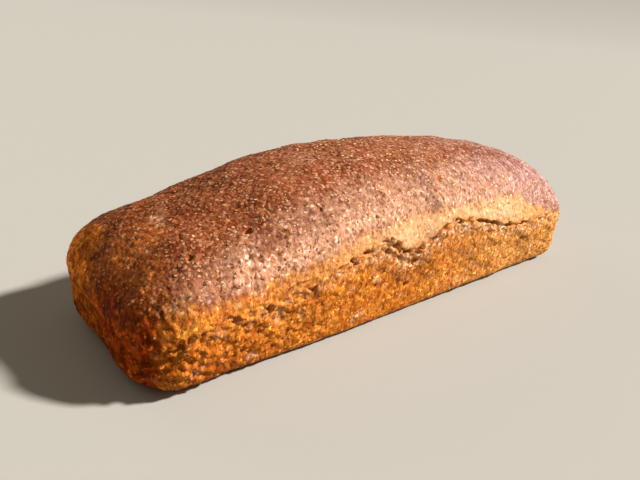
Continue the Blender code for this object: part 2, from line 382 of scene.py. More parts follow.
# %% [markdown]
# ## Pits and dents
# Gas broke through the crust in places and left open pits, some with a raised edge. Each is a bell curve
# pressed into the surface round a named place. The large ones stand where the real loaf has them. The
# small ones are scattered by a seeded draw, more on the wall, where the tin held the steam in. Distances
# are measured in space that noise has bent, so that no pit comes out round.

# %% Named pits and a seeded scatter
# x, y, z, radius, depth
PITS = millimetres((
    (-112.4, -27.9, 49.2, 1.2, 1.8), (-88.1, -28.7, 53.4, 1.2, 2.2), (-87.1, -35.9, 51.8, 0.9, 1.1),
    (-80, -36.6, 53.5, 0.9, 1), (-74.9, -37, 54.6, 0.8, 1), (-81.4, -41.4, 48.1, 1, 1.1),
    (-57.3, -34.9, 60.7, 1.2, 1.8), (-24.1, -36, 62.5, 1.2, 1.8), (15.4, -35, 63, 1.4, 1.8),
    (51.3, -33.2, 61.8, 1.1, 1.5), (-30.9, -26.2, 68.9, 0.8, 1), (-137.6, -28.6, 28.5, 1.2, 1.7),
    (-118.1, -44.5, 26.8, 1.3, 1.8), (-104.4, -45, 27.3, 1.5, 2.2), (-114.4, -42.2, 7.7, 1.1, 1.5),
    (-88.5, -44.3, 28.1, 1.4, 1.8), (-83.4, -44.4, 30.1, 1, 1.2), (-67, -44.4, 31, 1.4, 1.9),
    (-71.5, -44.7, 34.9, 0.9, 1), (-57.7, -44.6, 34.7, 1.1, 1.4), (-53.1, -44.8, 36.9, 1.2, 1.5),
    (91.1, -43.9, 21.2, 1.1, 1.3), (73.8, -43.8, 21, 1.1, 1.3), (46.1, -42.6, 7.6, 1.1, 1.2),
    (19.9, -43, 13.9, 1, 1.1), (-28.1, -44.1, 29.1, 0.9, 1), (-30.9, -44, 27, 0.8, 1),
    (-13.3, -42.7, 10, 1, 1.1), (-95, 21, 56, 1.3, 1.7), (32, 24, 69, 1.2, 1.5), (88, 5, 65, 1.2, 1.5),
    (-18, 44, 25, 1.3, 1.7), (66, 44, 19, 1.3, 1.7),
))
# x, y, z, radius, depth of broad dents; a bulge has a negative depth
DENTS = millimetres((
    (-138, 27, 13, 11, -0.9), (-131.8, -18.2, 37.3, 5, 1.6), (131, -38, 36, 18, 1.4),
    (-139.2, -4, 31, 8, -0.6),
))
SCATTERED_PITS, PIT_SEED = 430, 51
SMALLEST_PIT, PIT_SPREAD = 0.0005, 0.0006
NAMED_EDGE, SCATTERED_EDGE, RING_PLACE, RING_WIDTH = 0.18, 0.12, 1.6, 0.45
BEND, BEND_WAVE = 0.00055, 0.0024


def press(points, place, radius, depth, edge=0.0):
    """Moves along the normals: exp(-r^2.5) pressed in, and a raised ring of a share of its depth."""
    away = np.linalg.norm(points - place, axis=1) / radius
    near = away < 4
    pit = np.exp(-(away[near] ** 2.5))
    move = np.zeros(len(points))
    move[near] = depth * (edge * bell(away[near], RING_PLACE, RING_WIDTH) - pit)
    return move


def scattered_pits(points, height_above):
    """Places, radii and depths of small pits: points drawn at random, most of them below the break."""
    draw = np.random.RandomState(PIT_SEED)
    weight = np.where(height_above < 0, 1.0, 0.08) * (points[:, 2] > 0.003)
    chosen = draw.choice(len(points), SCATTERED_PITS, replace=False, p=weight / weight.sum())
    radius = SMALLEST_PIT + PIT_SPREAD * draw.uniform(size=SCATTERED_PITS) ** 2
    return bent[chosen], radius, radius * draw.uniform(0.6, 1.3, SCATTERED_PITS)


def outward_normals(points, faces):
    """The normals, but the outline's own direction where squeezed corner faces turned one inwards."""
    normals = normals_of(points, faces)
    turned_in = (normals[:, :2] * outward).sum(axis=1) < -0.25
    normals[turned_in] = np.column_stack([outward, 0 * outward[:, 0]])[turned_in]
    return normals


smooth_normals = outward_normals(crust, quads)
bent = crust + BEND * np.stack([waves(crust, BEND_WAVE, 20, seed) for seed in (41, 42, 43)], axis=1)
hollow = np.zeros(len(crust))
for x, y, z, radius, depth in PITS:
    nearest = bent[np.argmin(np.linalg.norm(crust - (x, y, z), axis=1))]
    hollow += press(bent, nearest, radius, depth, NAMED_EDGE)
for place, radius, depth in zip(*scattered_pits(crust, above_break)):
    hollow += press(bent, place, radius, depth, SCATTERED_EDGE)
dents = sum(press(crust, dent[:3], *dent[3:]) for dent in DENTS)
print(f"pits: {len(PITS)} named, {SCATTERED_PITS} scattered, deepest {-hollow.min() * 1000:.1f} mm")

# %% [markdown]
# ## Holes along the seam, splits and folds
# The seam shows as a chain of torn holes, two or three millimetres long, with crust left between them. Each
# hole is an ellipse that lies along the tear, in the same bent space as the pits. Short upright splits
# run down from the widest holes, and soft folds run up the shoulder at the near end, where the dough was
# held back by the corner of the tin. A groove's cross-section is a bell, and it fades at both ends.

# %% Torn holes
# x, z, half length, half height, depth, and the slope in degrees
HOLES = (
    (-125.6, 22.6, 2.2, 1.2, 2.6, 28), (-129.2, 21.7, 2.4, 0.6, 1.5, 8),
    (-44.6, 37.5, 3.6, 1.1, 2.6, -33), (-36.3, 40.2, 3.2, 1, 2.1, -5), (-24, 37.8, 1.6, 1.1, 1.4, 20),
    (-19.9, 40.4, 2.3, 1.5, 2.5, -30), (-25.8, 43.6, 3.2, 0.7, 1.1, 0), (-11.6, 35.3, 3.4, 0.9, 1.9, 6),
    (-4.6, 33.7, 3.4, 0.9, 2.2, 32), (4.6, 38.2, 3, 1, 2.2, 27), (12.5, 42.5, 1.9, 1.6, 2.5, 20),
    (21.2, 45.6, 1.4, 0.9, 1.2, -10), (25.4, 43.1, 2, 1.2, 1.7, -20), (31.3, 43, 1.7, 1.1, 1.6, 10),
    (45, 39.8, 5.8, 0.9, 2.6, -13), (56, 37, 5, 0.7, 2, -17), (69.6, 33.2, 3.4, 1, 2.1, -8),
    (85, 31.8, 4.2, 0.9, 2, -3), (102.7, 30.3, 3, 0.9, 1.5, 0), (94, 39.7, 2.6, 0.6, 0.9, 0),
    (106.5, 39.5, 2.4, 0.7, 1.1, 8),
)
# x and z of the upper end, x and z of the lower end, half width, depth
SPLITS = millimetres((
    (-17.1, 37, -14.9, 31.2, 0.6, 1.7), (-6.9, 33, -4.6, 26.2, 0.7, 1.9),
    (-16.6, 29.4, -16, 27.2, 0.5, 0.9), (-7.4, 18.5, -7.2, 15, 0.6, 1),
    (-13.4, 21.2, -13, 17.6, 0.6, 1),
))
FOLDS = millimetres((
    (-92, 53, -94.4, 38.5, 1, 0.8), (-101.7, 48, -111.5, 38.5, 0.9, 0.7),
    (-106.6, 43, -109, 36.5, 0.9, 0.6), (-81.2, 53, -83, 41, 0.9, 0.6), (-74, 53, -75.2, 43, 0.8, 0.5),
    (-98.5, 48, -101.5, 38.5, 1, -0.6), (-87, 52, -88.5, 40, 1, -0.6), (-65, 56, -66.5, 46, 0.8, 0.5),
))


def tear_open(points, x, z, half_long, half_high, depth, slope):
    """An ellipse along the slope: exp(-r^3) pressed in, with a thin raised edge."""
    turn = math.radians(slope)
    right, up = points[:, 0] - x, points[:, 2] - z
    along = (right * math.cos(turn) + up * math.sin(turn)) / half_long
    across = (up * math.cos(turn) - right * math.sin(turn)) / half_high
    away = np.minimum(np.hypot(along, across), 9)
    return depth * (0.12 * bell(away, 1.6, 0.4) - np.exp(-(away**3)))


def groove(points, top_x, top_z, low_x, low_z, half, depth):
    """A groove between two places on the front: a bell across the line, times soft ends."""
    share = (points[:, 2] - low_z) / (top_z - low_z)
    line = low_x + (top_x - low_x) * share
    ends = soft_step(share, -0.1, 0.3) * (1 - soft_step(share, 0.7, 1.1))
    return -depth * bell(points[:, 0], line, half) * ends


on_front = faces_front * (crust[:, 1] < 0)
hollow += on_front * sum(tear_open(bent, *millimetres(hole[:5]), hole[5]) for hole in HOLES)
hollow += on_front * sum(groove(bent, *split) for split in SPLITS)
folds = (crust[:, 1] < 0) * sum(groove(bent, *fold) for fold in FOLDS)
print(f"holes along the seam: {len(HOLES)}, splits: {len(SPLITS)}, folds: {len(FOLDS)}")

# %% [markdown]
# ## The grain of the bran
# Between the pits the crust is rough all over. On the crown, flakes of bran lift the surface into grains.
# The wall is more broken, most of all towards the near end, and it is crumbly along the break. Where the
# dough stretched, short ridges run up the slope. All of these are waves again, only shorter, and each is
# kept to its own zone.

# %% Grain, ridges and the craggy corner
# Wavelength and height in millimetres, number of waves, seed
GRAIN = ((3.6, 0.16, 40, 61), (2.1, 0.08, 40, 62))
WALL_BREAKS = ((3.8, 0.18, 40, 63), (2.1, 0.14, 40, 64), (6.2, 0.13, 30, 83), (13, 0.16, 30, 84))
NEAR_BREAKS = ((3.8, 0.144, 40, 63), (2.1, 0.056, 40, 64), (8, 0.34, 30, 70))
CRUMBS = ((3.4, 0.2, 40, 67), (1.9, 0.14, 40, 68))
CRAGS = ((8.5, 0.4, 30, 66), (3.6, 0.4, 30, 69), (2.2, 0.18, 40, 80))
RIDGE_HEIGHT, RIDGE_WAVE, RIDGE_SQUEEZE = 0.00013, 0.01, (4.0, 0.9, 0.9)
CRAG_X, CRAG_Z, CRAG_REACH = -0.128, 0.018, 0.015

on_crown = soft_step(above_break, -0.001, 0.006)
near_wall = soft_step(-crust[:, 0], 0.03, 0.09)
broken = roughness(crust, WALL_BREAKS) + near_wall * roughness(crust, NEAR_BREAKS)
broken *= 1 - 0.55 * soft_step(-outward[:, 0], 0.5, 0.9)
even_end = 1 - 0.45 * soft_step(-crust[:, 0], 0.1, 0.135) - 0.3 * soft_step(crust[:, 1], 0.01, 0.04)
relief = roughness(crust, GRAIN) * on_crown * even_end + broken * (1 - on_crown)

crumbly = bell(above_break, 0.001, 0.0045) * on_front
stretched = bell(above_break, 0.01, 0.008) * on_front
relief += roughness(crust, CRUMBS) * crumbly
relief += RIDGE_HEIGHT * waves(crust, RIDGE_WAVE, 40, 65, RIDGE_SQUEEZE) * stretched
to_corner = np.hypot(crust[:, 0] - CRAG_X, crust[:, 2] - CRAG_Z)
relief += roughness(crust, CRAGS) * bell(to_corner, 0, CRAG_REACH) * (crust[:, 1] < -0.02)
crust += smooth_normals * ((relief + folds + hollow + dents) * free_of_base)[:, None]
print(f"grain: {relief.std() * 1000:.2f} mm spread, crust height {crust[:, 2].max():.4f} m")

# %% Putting the crust into a mesh
def in_scene(name, data):
    """A new object that holds this data, in the scene."""
    made = bpy.data.objects.new(name, data)
    bpy.context.scene.collection.objects.link(made)
    return made


def mesh_piece(name, points, faces, smooth=True):
    """A mesh object at the origin, smooth or flat shaded, which rides on the loaf's one body."""
    mesh = bpy.data.meshes.new(name)
    mesh.from_pydata(points.tolist(), [], faces)
    if smooth:
        mesh.shade_smooth()
    mesh.validate()
    piece = in_scene(name, mesh)
    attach(piece, "root")
    return piece


def paint(piece, name, values):
    """Stores one number for each point under a name, which a material can read."""
    attribute = piece.data.attributes.new(name, "FLOAT", "POINT")
    attribute.data.foreach_set("value", np.asarray(values, np.float32))


loaf_crust = mesh_piece("loaf_crust", crust, quads.tolist() + [base_ring.tolist()])
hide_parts("loaf")
print(f"loaf_crust: {len(loaf_crust.data.polygons)} faces")

# %% [markdown]
# ## Where the crust browned
# Colour on bread follows heat. The crown browned darkest, the wall is orange-brown from the hot tin, and
# the skin that stretched last, just above the tear, stayed pale. Light is painted too: a mauve-pink sheen
# on the crown's slopes, shade on the near end and its dark spots, and light on that end's back corner.
# These zones follow the surface, so they are stored on its points as numbers from 0 to 1, and the
# material reads them by name. A texture by height alone would cut straight across the wandering break.

# %% Lines and places of the zones
# x, height on the front where the brown of the crown begins
BROWN_EDGE = millimetres((
    (-140, 33), (-124, 35.2), (-100, 36.2), (-74, 39.8), (-54, 44), (-40, 47.6), (-18, 49), (10, 50),
    (41, 49), (78, 46), (100, 37.2), (116, 33.2), (140, 25),
))
BACK_RISE = 0.004
# x, how golden the stretched skin is, how creamy
SKIN = (
    (-0.14, 0, 0), (-0.12, 0.05, 0), (-0.08, 0.2, 0.05), (-0.05, 0.6, 0.3), (-0.025, 0.6, 0.75),
    (0.01, 0.6, 0.7), (0.04, 0.6, 0.8), (0.074, 0.65, 0.75), (0.09, 0.5, 0.3), (0.106, 0.2, 0.05),
    (0.14, 0, 0),
)
# x, how strong the painted pink sheen is on the front shoulder, and on the top
PAINTED_SHEEN = (
    (-0.14, 0, 0), (-0.13, 0, 0), (-0.116, 0.15, 0), (-0.098, 0.38, 0.02), (-0.07, 0.54, 0.05),
    (-0.048, 0.79, 0.13), (-0.02, 0.88, 0.12), (0.04, 1, 0.24), (0.09, 1, 0.52), (0.14, 1, 0.9),
)
# x, how peachy the lowest part of the front shoulder is, how pale and dusty the wall is under the seam
PEACH = (
    (-0.14, 0, 0), (-0.124, 0.1, 0), (-0.11, 0.3, 0.1), (-0.099, 0.8, 0.2), (-0.08, 0.85, 0.3),
    (-0.055, 0.95, 0.5), (-0.03, 0.75, 0.95), (0, 0.5, 1), (0.05, 0.4, 1), (0.1, 0.3, 0.8),
    (0.14, 0.3, 0.3),
)
# x, y, z and radius in millimetres, and strength of pale floury or scuffed places
FLOURY = (
    (-110.5, 3.5, 52, 3, 0.35), (-112, -1.5, 52, 1.8, 0.5), (-107, 8.5, 52.5, 2, 0.3),
    (33.9, -42.5, 8, 1.4, 1), (38.5, -42.5, 7.2, 1.5, 1), (43, -42.5, 6.6, 1.2, 1),
    (-110.2, -16.4, 52.4, 1, 0.6), (-90.3, -30.3, 53.8, 1, 0.6), (-58, -35.7, 60.2, 1, 0.5),
    (-113.4, -29, 48.5, 1, 0.5), (-107, -44.3, 22.5, 1.2, 0.6), (-123, -40, 37, 3, 0.35),
    (-31, -44.8, 38, 3, 0.3), (-13, -44.3, 30, 2.8, 0.25),
)
# x, y, z and radius in millimetres, and strength of dark spots of painted shade, in a dent and at the shaded
# corner of the near end
SHADE_SPOTS = ((-129, -34.5, 36, 5.2, 0.64), (-133.5, -13, 37, 5, 0.15), (-134.5, -35.5, 15, 4.5, 0.2))


def spots(places):
    """Sum of soft spots: each a bell curve times its strength, in the bent space of the pits."""
    total = 0
    for *sizes, strength in places:
        *place, radius = millimetres(sizes)
        total = total + strength * bell(np.linalg.norm(bent - place, axis=1), 0, radius)
    return total


# %% Crown, wall and ends
x, y, z = form.T
to_back = soft_step(y, -HALF_WIDTH, HALF_WIDTH)
back_edge = smooth_through(BREAK_BACK, x) + BACK_RISE
brown_edge = smooth_through(BROWN_EDGE, x) * (1 - to_back) + back_edge * to_back
# The edge wanders at the back and at the far end, and climbs at the back corner of the near end.
brown_edge += 0.0012 * to_back * waves(crust, 0.02, 20, 86)
brown_edge += 0.0018 * soft_step(x, 0.127, 0.137) * waves(crust, 0.012, 20, 87)
brown_edge += 0.014 * soft_step(y, 0.003, 0.021) * soft_step(-x, 0.122, 0.133)
past_edge = z - brown_edge + 0.001 * waves(crust, 0.008, 30, 71) + 0.0006 * waves(crust, 0.003, 30, 72)

# On the near end brown and wall run into each other. The end face is in shade, so shade is painted on it as
# a darker colour, and painted light makes it golden towards its back corner and top.
faces_end = np.clip(-outward[:, 0], 0, 1) ** 2
softer = 0.01 * faces_end
browned = soft_step(past_edge, -0.002 - softer, 0.003 + softer)
# Painted shade: the end face, turned away from the key light, takes a darker colour.
painted_end_shade = soft_step(faces_end, 0.15, 0.56)
far = soft_step(x, -0.01, 0.09)
# Painted light: the end is golden towards its back corner and top, where light falls on it.
painted_end_light = soft_step(y, -0.015, 0.02) * soft_step(-x, 0.1, 0.125)
painted_end_light *= 0.35 + 0.65 * soft_step(z, 0.015, 0.029)
from_end = x + 0.138 - 0.018 * soft_step(y, -0.035, 0.02) + 0.003 * waves(crust, 0.016, 20, 73)
near = (1 - soft_step(from_end, -0.006, 0.024)) * (1 - 0.9 * soft_step(y, -0.01, 0.012))
near *= soft_step(z, 0.034, 0.041)
print(f"browned share of the points: {browned.mean():.2f}")

# %% The skin that stretched
frayed = above_break + 0.001 * waves(crust, 0.0045, 30, 75)
skin = (1 - soft_step(past_edge, -0.003, 0.004)) * soft_step(frayed, -0.003, 0.0014) * on_front
crumb_gold = crumbly * soft_step(waves(crust, 0.006, 30, 74), -0.6, 1.0) * soft_step(-x, 0.045, 0.065)
crumb_gold *= (1 - 0.9 * browned) * soft_step(x, -0.13, -0.108)
gold = np.maximum(skin * smooth_through(SKIN, x, 1), 0.28 * crumb_gold)
over_tear = above_break + 0.0008 * waves(crust, 0.006, 30, 78)
cream = skin * smooth_through(SKIN, x, 2) * soft_step(over_tear, 0.0, 0.005)
peach = smooth_through(PEACH, x) * bell(past_edge, 0.006, 0.005) * on_front
gap_share = bell(above_break, 0, SEAM_HALF) * on_front * np.clip(seam_depth(x) / 0.0016, 0, 1)
print(f"skin share of the points: {skin.mean():.2f}")

# %% Painted sheen: pink on the crown's slopes and top
front_slope = soft_step(-y, 0.019 + 0.005 * soft_step(-x, 0.04, 0.09), 0.043)
painted_sheen = smooth_through(PAINTED_SHEEN, x) * front_slope + smooth_through(PAINTED_SHEEN, x, 2) * (1 - front_slope)
mottled = 0.13 * waves(crust, 0.022, 30, 79) + 0.1 * waves(crust, 0.011, 30, 82)
painted_sheen = np.clip(painted_sheen + mottled * soft_step(painted_sheen, 0, 0.3), 0, 1)

# %% Dusty, toasted and floury places
dust_reach = 0.0034 + 0.0044 * bell(x, -0.004, 0.032)
below_seam = bell(frayed, -0.0028, dust_reach) * smooth_through(PEACH, x, 2)
below_seam *= soft_step(waves(crust, 0.005, 30, 76), -1.2, 0.8)
scuffs = 0.45 * soft_step(waves(crust, 0.01, 30, 77), 0.8, 2.0)
dusty = on_front * (1 - browned) * np.maximum(below_seam, scuffs)
toasted = on_front * soft_step(-x, 0.075, 0.112) * soft_step(x, -0.136, -0.118)
toasted *= 1 - soft_step(z, 0.01, 0.03)
flour = 1.3 * spots(FLOURY) * soft_step(waves(crust, 0.0026, 30, 85), -1.0, 0.6)

# %% Storing the zones
# Dark specks and light flecks are rarer on the painted pink sheen and on the stretched skin, which is
# smooth.
calm = skin * (0.25 + 0.75 * soft_step(x, -0.075, -0.04))
few_specks = np.maximum((0.08 + (0.17 + 0.4 * near_wall) * painted_sheen) * browned, 0.65 * calm)
few_lights = np.maximum(0.45 * painted_sheen * browned, 0.7 * calm)
zones = {
    "browned": browned, "painted_end_shade": painted_end_shade, "far": far, "near": near, "painted_end_light": painted_end_light, "painted_sheen": painted_sheen,
    "gold": gold, "cream": cream, "peach": peach, "dusty": dusty, "toasted": toasted,
    "flour": np.clip(flour, 0, 1),
    # Spots of painted shade at the near end.
    "painted_shade_spots": np.clip(spots(SHADE_SPOTS), 0, 1),
    "specks": 1 - np.maximum(few_specks, 0.1),
    "lights": 1 - np.maximum(few_lights, 0.15 * (1 - browned)),
    "hollow": np.maximum(gap_share, soft_step(-hollow, 0.0002, 0.001)),
}
for name, values in zones.items():
    paint(loaf_crust, name, values)
print(f"zones stored: {len(zones)}")

# %% [markdown]
# ## The crust's material
# Crust is a dry, matte skin with a slight gloss where starch has dried on it. One Principled shader is
# enough, if its colour varies at the sizes at which real crust varies: broad patches from the oven's heat,
# blotches as wide as a finger tip, and specks of bran. Painting a picture would fix the detail at one
# size, so the pattern is made of noise in Object coordinates, which stays sharp when you come close.

# %% Helpers for node trees
def node(tree, kind, inputs=None, **settings):
    """A node with its settings and its sockets filled: a link where a socket is given, else a number."""
    made = tree.nodes.new(kind)
    for name, value in settings.items():
        setattr(made, name, value)
    for name, value in (inputs or {}).items():
        if isinstance(value, bpy.types.NodeSocket):
            tree.links.new(value, made.inputs[name])
        else:
            made.inputs[name].default_value = value
    return made


def blend(tree, share, first, second, way="MIX"):
    """Colour mix of two colours or links by a share or link."""
    first, second = ((*c, 1.0) if isinstance(c, tuple) else c for c in (first, second))
    sockets = {0: share, 6: first, 7: second}
    mix = node(tree, "ShaderNodeMix", sockets, data_type="RGBA", blend_type=way, clamp_factor=True)
    return mix.outputs[2]


def ramp(tree, value, low, high, to_low=0.0, to_high=1.0):
    """Maps low..high onto to_low..to_high with soft ends."""
    sockets = {"Value": value, "From Min": low, "From Max": high, "To Min": to_low, "To Max": to_high}
    return node(tree, "ShaderNodeMapRange", sockets, interpolation_type="SMOOTHSTEP").outputs[0]


def noise(tree, where, size, detail=2.0, coarseness=0.5):
    """Noise whose blotches are about size metres wide."""
    sockets = {"Vector": where, "Scale": 1 / size, "Detail": detail, "Roughness": coarseness}
    return node(tree, "ShaderNodeTexNoise", sockets).outputs[0]


def cells(tree, where, spacing):
    """Cells about spacing metres wide: the distance from a cell's middle, and a chance colour for each."""
    sockets = {"Vector": where, "Scale": 1 / spacing}
    return node(tree, "ShaderNodeTexVoronoi", sockets, feature="F1").outputs


def times(tree, first, second):
    """The product of two numbers or links."""
    return node(tree, "ShaderNodeMath", {0: first, 1: second}, operation="MULTIPLY").outputs[0]


def stored(tree, name):
    """The number painted on the points under this name."""
    return node(tree, "ShaderNodeAttribute", attribute_type="GEOMETRY", attribute_name=name).outputs[2]


def new_finish(name, specular, roughness=0.5):
    """A Principled material with these two numbers set, its tree and its shader."""
    material = bpy.data.materials.new(name)
    material.use_nodes = True
    shader = material.node_tree.nodes["Principled BSDF"]
    shader.inputs["Specular IOR Level"].default_value = specular
    shader.inputs["Roughness"].default_value = roughness
    return material, material.node_tree, shader


# %% Colours of the crust
CROWN_DARK = (0.122, 0.026, 0.008)
CROWN_LIGHT = (0.262, 0.065, 0.024)
SHOULDER_BROWN = (0.56, 0.165, 0.032)
# Pink-mauve of the painted sheen, the light that the dry crown throws back
SHEEN_PINK = (0.362, 0.182, 0.158)
SHEEN_PINK_LIGHT = (0.55, 0.348, 0.325)
WALL_DEEP = (0.42, 0.102, 0.009)
WALL_LIGHT = (0.7, 0.25, 0.036)
WALL_FAR = (0.8, 0.4, 0.125)
# The near end in painted shade, and golden where light is painted on it
END_SHADE_BROWN = (0.3, 0.042, 0.002)
END_LIT_GOLD = (0.68, 0.182, 0.016)
CORNER_BROWN = (0.3, 0.062, 0.007)
SKIN_GOLD = (0.745, 0.345, 0.105)
SKIN_CREAM = (0.79, 0.48, 0.29)
PORE_BROWN = (0.24, 0.056, 0.004)
HOLE_BROWN = (0.39, 0.125, 0.018)
PEACH_SKIN = (0.75, 0.405, 0.275)
WALL_DUSTY = (0.81, 0.5, 0.31)
# Dark brown of the spots of painted shade
SHADE_SPOT_BROWN = (0.105, 0.022, 0.003)
FLOUR_WHITE = (0.82, 0.56, 0.33)
# Factors by which a colour is multiplied
SHEEN_NEAR, SHEEN_FAR = (1.04, 1.0, 0.8), (0.97, 1.0, 1.12)
END_DARKER, END_LIGHTER = (0.55, 0.46, 0.4), (1.5, 1.7, 1.7)
FLECK_LIFT, GRAIN_DIM = (2.2, 3.0, 3.7), (0.42, 0.28, 0.19)
NO_CHANGE = (1.0, 1.0, 1.0)

# %% Crown and wall colours
PATCH_SIZE, BLOTCH_SIZE, GRAIN_SIZE = 0.03, 0.0055, 0.0014
PORE_SPACING, BRAN_SPACING = 0.0024, 0.0017
BEND_SIZE, BEND_REACH = 0.0016, 0.0022
CRUST_SPECULAR = 0.03


def crown_colour(tree, patches, blotches):
    """Two browns in patches and blotches, paler towards the near end, and a painted pink sheen over them."""
    crown = blend(tree, ramp(tree, patches, 0.35, 0.65), CROWN_DARK, CROWN_LIGHT)
    crown = blend(tree, ramp(tree, blotches, 0.42, 0.62, 0.0, 0.8), crown, CROWN_LIGHT)
    crown = blend(tree, stored(tree, "near"), crown, SHOULDER_BROWN)
    # Painted sheen: pink-mauve colours that stand in for light reflected off the crown.
    sheen_colour = blend(tree, ramp(tree, blotches, 0.42, 0.62), SHEEN_PINK, SHEEN_PINK_LIGHT)
    warmth = blend(tree, stored(tree, "far"), SHEEN_NEAR, SHEEN_FAR)
    sheen_colour = blend(tree, 1.0, sheen_colour, warmth, "MULTIPLY")
    return blend(tree, stored(tree, "painted_sheen"), crown, sheen_colour)


def wall_colour(tree, blotches):
    """Orange-brown blotches, paler at the far end, toasted at the near corner, and the near end in painted
    shade, golden where light is painted at its back.
    """
    wall = blend(tree, ramp(tree, blotches, 0.38, 0.58), WALL_DEEP, WALL_LIGHT)
    wall = blend(tree, times(tree, stored(tree, "far"), 0.7), wall, WALL_FAR)
    wall = blend(tree, times(tree, stored(tree, "toasted"), 0.65), wall, CORNER_BROWN)
    # The end's painted shade, golden where light is painted towards its back corner and top.
    end = blend(tree, stored(tree, "painted_end_light"), END_SHADE_BROWN, END_LIT_GOLD)
    end_tone = blend(tree, ramp(tree, blotches, 0.38, 0.62), END_DARKER, END_LIGHTER)
    end = blend(tree, 1.0, end, end_tone, "MULTIPLY")
    return blend(tree, stored(tree, "painted_end_shade"), wall, end)


def pores_and_flecks(tree, where):
    """Dark pores and light flecks: spots in the middles of cells, which fine noise has bent."""
    bending = times(tree, noise(tree, where, BEND_SIZE, 1.0), BEND_REACH)
    shifted = node(tree, "ShaderNodeVectorMath", {0: where, 1: bending}, operation="ADD").outputs[0]
    pore_cells = cells(tree, shifted, PORE_SPACING)
    pores = times(tree, ramp(tree, pore_cells["Distance"], 0.28, 0.12), stored(tree, "specks"))
    longer = node(tree, "ShaderNodeMapping", {"Vector": shifted, "Scale": (0.7, 1.0, 1.0)}).outputs[0]
    bran_cells = cells(tree, longer, BRAN_SPACING)
    chance = node(tree, "ShaderNodeSeparateColor", {"Color": bran_cells["Color"]}).outputs[0]
    bran_shape = ramp(tree, bran_cells["Distance"], 0.52, 0.25)
    return pores, times(tree, ramp(tree, chance, 0.35, 1.0), bran_shape)


# %% Baked crust
def baked_crust():
    """Zones from the stored numbers, broken up by noise of three sizes, with flecks and pores on top."""
    material, tree, shader = new_finish("baked_crust", CRUST_SPECULAR)
    where = node(tree, "ShaderNodeTexCoord").outputs["Object"]
    patches = noise(tree, where, PATCH_SIZE, 3.0)
    blotches = noise(tree, where, BLOTCH_SIZE, 3.0, 0.7)
    drawn = node(tree, "ShaderNodeMapping", {"Vector": where, "Scale": (1.0, 0.5, 0.5)}).outputs[0]
    grains = noise(tree, drawn, GRAIN_SIZE, 3.0, 0.6)
    pores, flecks = pores_and_flecks(tree, where)
    crown, wall = crown_colour(tree, patches, blotches), wall_colour(tree, blotches)
    colour = blend(tree, stored(tree, "browned"), wall, crown)
    # The last layers: spots of painted shade, then peach, dust and the stretched skin.
    for zone, over in (("painted_shade_spots", SHADE_SPOT_BROWN), ("peach", PEACH_SKIN), ("dusty", WALL_DUSTY),
                       ("gold", SKIN_GOLD), ("cream", SKIN_CREAM)):
        colour = blend(tree, stored(tree, zone), colour, over)
    lift = blend(tree, times(tree, flecks, stored(tree, "lights")), NO_CHANGE, FLECK_LIFT)
    colour = blend(tree, 1.0, colour, lift, "MULTIPLY")
    dim = times(tree, ramp(tree, grains, 0.36, 0.58, 0.9, 0.0), stored(tree, "specks"))
    colour = blend(tree, dim, colour, GRAIN_DIM, "MULTIPLY")
    colour = blend(tree, times(tree, pores, 0.6), colour, PORE_BROWN)
    colour = blend(tree, stored(tree, "flour"), colour, FLOUR_WHITE)
    colour = blend(tree, stored(tree, "hollow"), colour, HOLE_BROWN)
    sunk = times(tree, pores, -0.6)
    height = node(tree, "ShaderNodeMath", {0: grains, 1: sunk}, operation="ADD").outputs[0]
    bump = node(tree, "ShaderNodeBump", {"Height": height, "Strength": 0.55, "Distance": 0.0008})
    tree.links.new(colour, shader.inputs["Base Color"])
    tree.links.new(bump.outputs[0], shader.inputs["Normal"])
    tree.links.new(ramp(tree, blotches, 0.3, 0.7, 0.5, 0.75), shader.inputs["Roughness"])
    return material


loaf_crust.data.materials.append(baked_crust())

# %% [markdown]
# ## Bran flakes
# Wholemeal flour leaves flakes of bran in the crust, a millimetre or so long, paler than the brown skin.
# A particle system would place them, but its copies vanish on export. So every flake is real mesh: a thin
# lens with six uneven corners, copied thousands of times by one array sum, laid on the crust and sunk in.
# The flakes are shaded flat, because a smooth thin lens shines at its middle and looks like a grain of rice.

# %% Flakes laid on the crust
# Name, number, seed, length, thickness, shares of crown, skin and wall
FLAKES = (
    ("bran_flakes_pale", 16000, 81, 0.0015, 0.05, (1.0, 0.2, 0.15)),
    ("bran_flakes_toasted", 9000, 82, 0.0016, 0.07, (0.5, 0.15, 1.0)),
)
LOWEST_FLAKE, DEEPEST_FLAKE = 0.003, -0.0005
LONG, WIDE, THICK, UNEVEN = (0.5, 1.3), (0.45, 0.85), (0.8, 1.3), (0.65, 1.2)
TILT, RAISED = 0.04, 0.3


def one_flake():
    """A lens one unit long: a six-cornered ring with a point above and below, and its twelve faces."""
    turn = np.arange(6) * math.pi / 3
    ring = np.stack([np.cos(turn) / 2, np.sin(turn) / 2, 0 * turn], axis=1)
    points = np.concatenate([ring, [[0, 0, 0.5], [0, 0, -0.5]]])
    i = np.arange(6)
    upper = np.stack([i, (i + 1) % 6, np.full(6, 6)], axis=1)
    lower = np.stack([(i + 1) % 6, i, np.full(6, 7)], axis=1)
    return points, np.concatenate([upper, lower])


def on_faces(values):
    """The mean of each crust face's four corners."""
    return values[quads].mean(axis=1)


